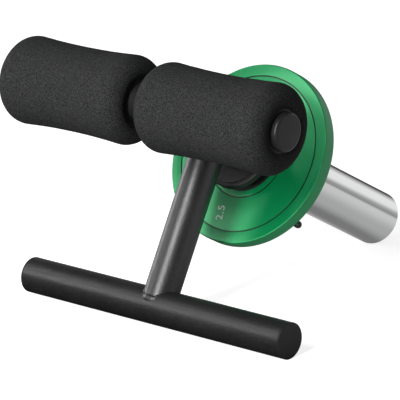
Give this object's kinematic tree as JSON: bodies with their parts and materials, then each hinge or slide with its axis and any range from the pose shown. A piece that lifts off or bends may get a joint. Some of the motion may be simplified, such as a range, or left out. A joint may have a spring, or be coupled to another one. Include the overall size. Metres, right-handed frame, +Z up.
{
  "type": "tibialis bar",
  "caption": "Shin trainer with a foot bar, a leaning post, foam rollers on a crossbar and a chromed rear sleeve with a small green plate held by a spring clip.",
  "frame": {"origin": "centre of the footprint's bounding box, on the ground plane", "axes": "+Z up, X along the foot bar and the crossbar, +Y towards the rear end of the sleeve; the foot bar and the sleeve's lower rear edge rest on the ground"},
  "size_m": [0.304, 0.3618, 0.2363],
  "materials": {
    "frame_coat": "satin",
    "cap_plastic": "satin",
    "liner_plastic": "matte",
    "foam": "matte",
    "bumper_rubber": "satin",
    "chrome": "polished",
    "bush_plastic": "matte",
    "dark_steel": "satin",
    "bright_steel": "satin",
    "plate_rubber": "satin",
    "hub_steel": "satin",
    "clip_wire": "polished",
    "clip_grip": "satin"
  },
  "bodies": {
    "frame": {"lower_bar": "frame_coat", "post": "frame_coat", "crossbar": "frame_coat", "neck_web": "frame_coat", "shaft": "frame_coat", "flange": "frame_coat", "weld_post_foot": "frame_coat", "weld_post_head": "frame_coat", "weld_neck": "frame_coat", "weld_crossbar": "frame_coat", "weld_flange": "frame_coat", "lower_bar_cap_right": "cap_plastic", "lower_bar_cap_left": "cap_plastic", "crossbar_cap_right": "cap_plastic", "crossbar_cap_left": "cap_plastic", "roller_spacer": "cap_plastic", "flange_bumper": "bumper_rubber", "sleeve": "chrome", "sleeve_bush_front": "bush_plastic", "sleeve_bush_rear": "bush_plastic", "sleeve_end_disc": "dark_steel", "shaft_insert": "bright_steel", "sleeve_bolt": "dark_steel", "sleeve_washer": "bright_steel"},
    "right_roller": {"foam_roller_right": "foam", "roller_liner_right": "liner_plastic"},
    "left_roller": {"foam_roller_left": "foam", "roller_liner_left": "liner_plastic"},
    "plate": {"plate_cover": "plate_rubber", "plate_core": "hub_steel"},
    "collar": {"collar_spring": "clip_wire", "collar_grip_front": "clip_grip", "collar_grip_rear": "clip_grip"}
  },
  "joints": [
    {"name": "right_roller_spin", "type": "hinge", "parent": "frame", "child": "right_roller", "pos_m": [0.0777, -0.14214, 0.19747], "axis": [1, 0, 0], "continuous": true},
    {"name": "left_roller_spin", "type": "hinge", "parent": "frame", "child": "left_roller", "pos_m": [-0.0777, -0.14214, 0.19747], "axis": [1, 0, 0], "continuous": true},
    {"name": "plate_slide", "type": "slide", "parent": "frame", "child": "plate", "axis": [0, 0.8701, -0.4929], "range_m": [-0.0104, 0]},
    {"name": "collar_slide", "type": "slide", "parent": "frame", "child": "collar", "axis": [0, 0.8701, -0.4929], "range_m": [0, 0.17]}
  ]
}
